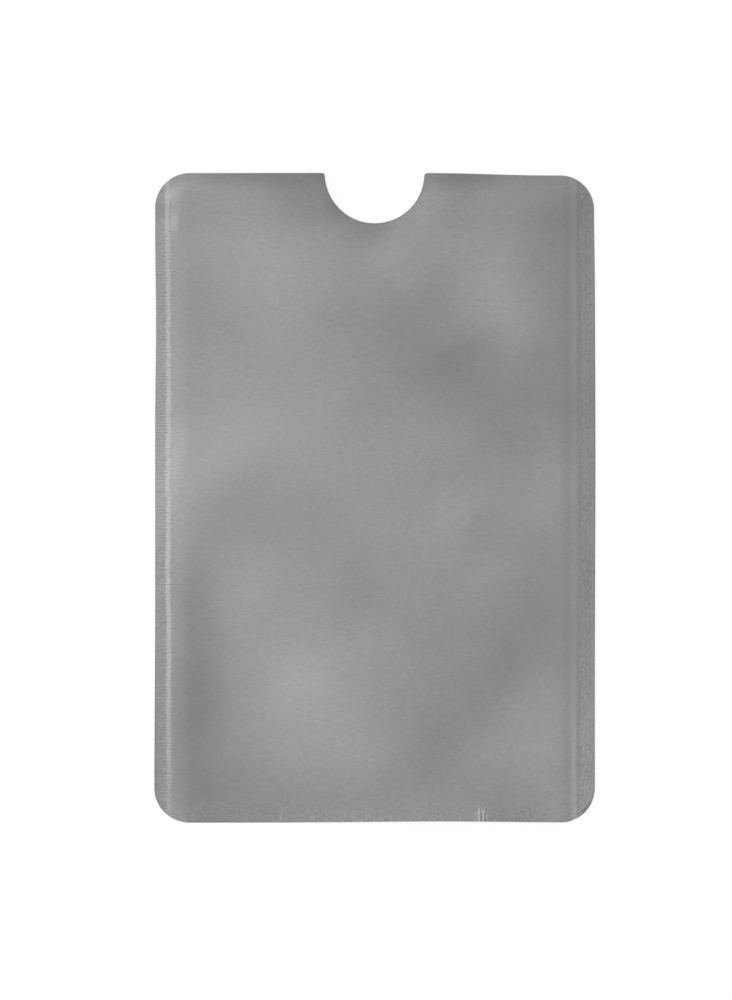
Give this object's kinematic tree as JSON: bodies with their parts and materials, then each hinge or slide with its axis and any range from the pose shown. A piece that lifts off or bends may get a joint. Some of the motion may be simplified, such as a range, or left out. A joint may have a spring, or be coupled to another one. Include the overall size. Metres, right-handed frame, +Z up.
{
  "type": "rfid card sleeve",
  "caption": "Flat foil-laminate sleeve for a bank card, heat-sealed along its sides and bottom and open at the top with a half-round thumb notch; it shields the card from contactless readers.",
  "frame": {"origin": "on the plane that the back wall rests on, under the middle of the sleeve", "axes": "+X to the right of the front wall, +Y out of the mouth, +Z up out of the front wall"},
  "size_m": [0.061, 0.09, 0.0012],
  "materials": {
    "silver_film": "satin silver metallised polyester film with a fine linen grain and knurled seal bands",
    "shield_foil": "bright rolled foil",
    "seal_liner": "clear heat-seal film that shows the foil behind it",
    "fused_seam": "milky fused heat-seal film"
  },
  "bodies": {
    "root": {"front_outer_film": "silver_film", "front_shield_foil": "shield_foil", "front_seal_liner": "seal_liner", "back_outer_film": "silver_film", "back_shield_foil": "shield_foil", "back_seal_liner": "seal_liner", "left_weld_seam": "fused_seam", "right_weld_seam": "fused_seam", "bottom_weld_seam": "fused_seam"}
  },
  "joints": []
}
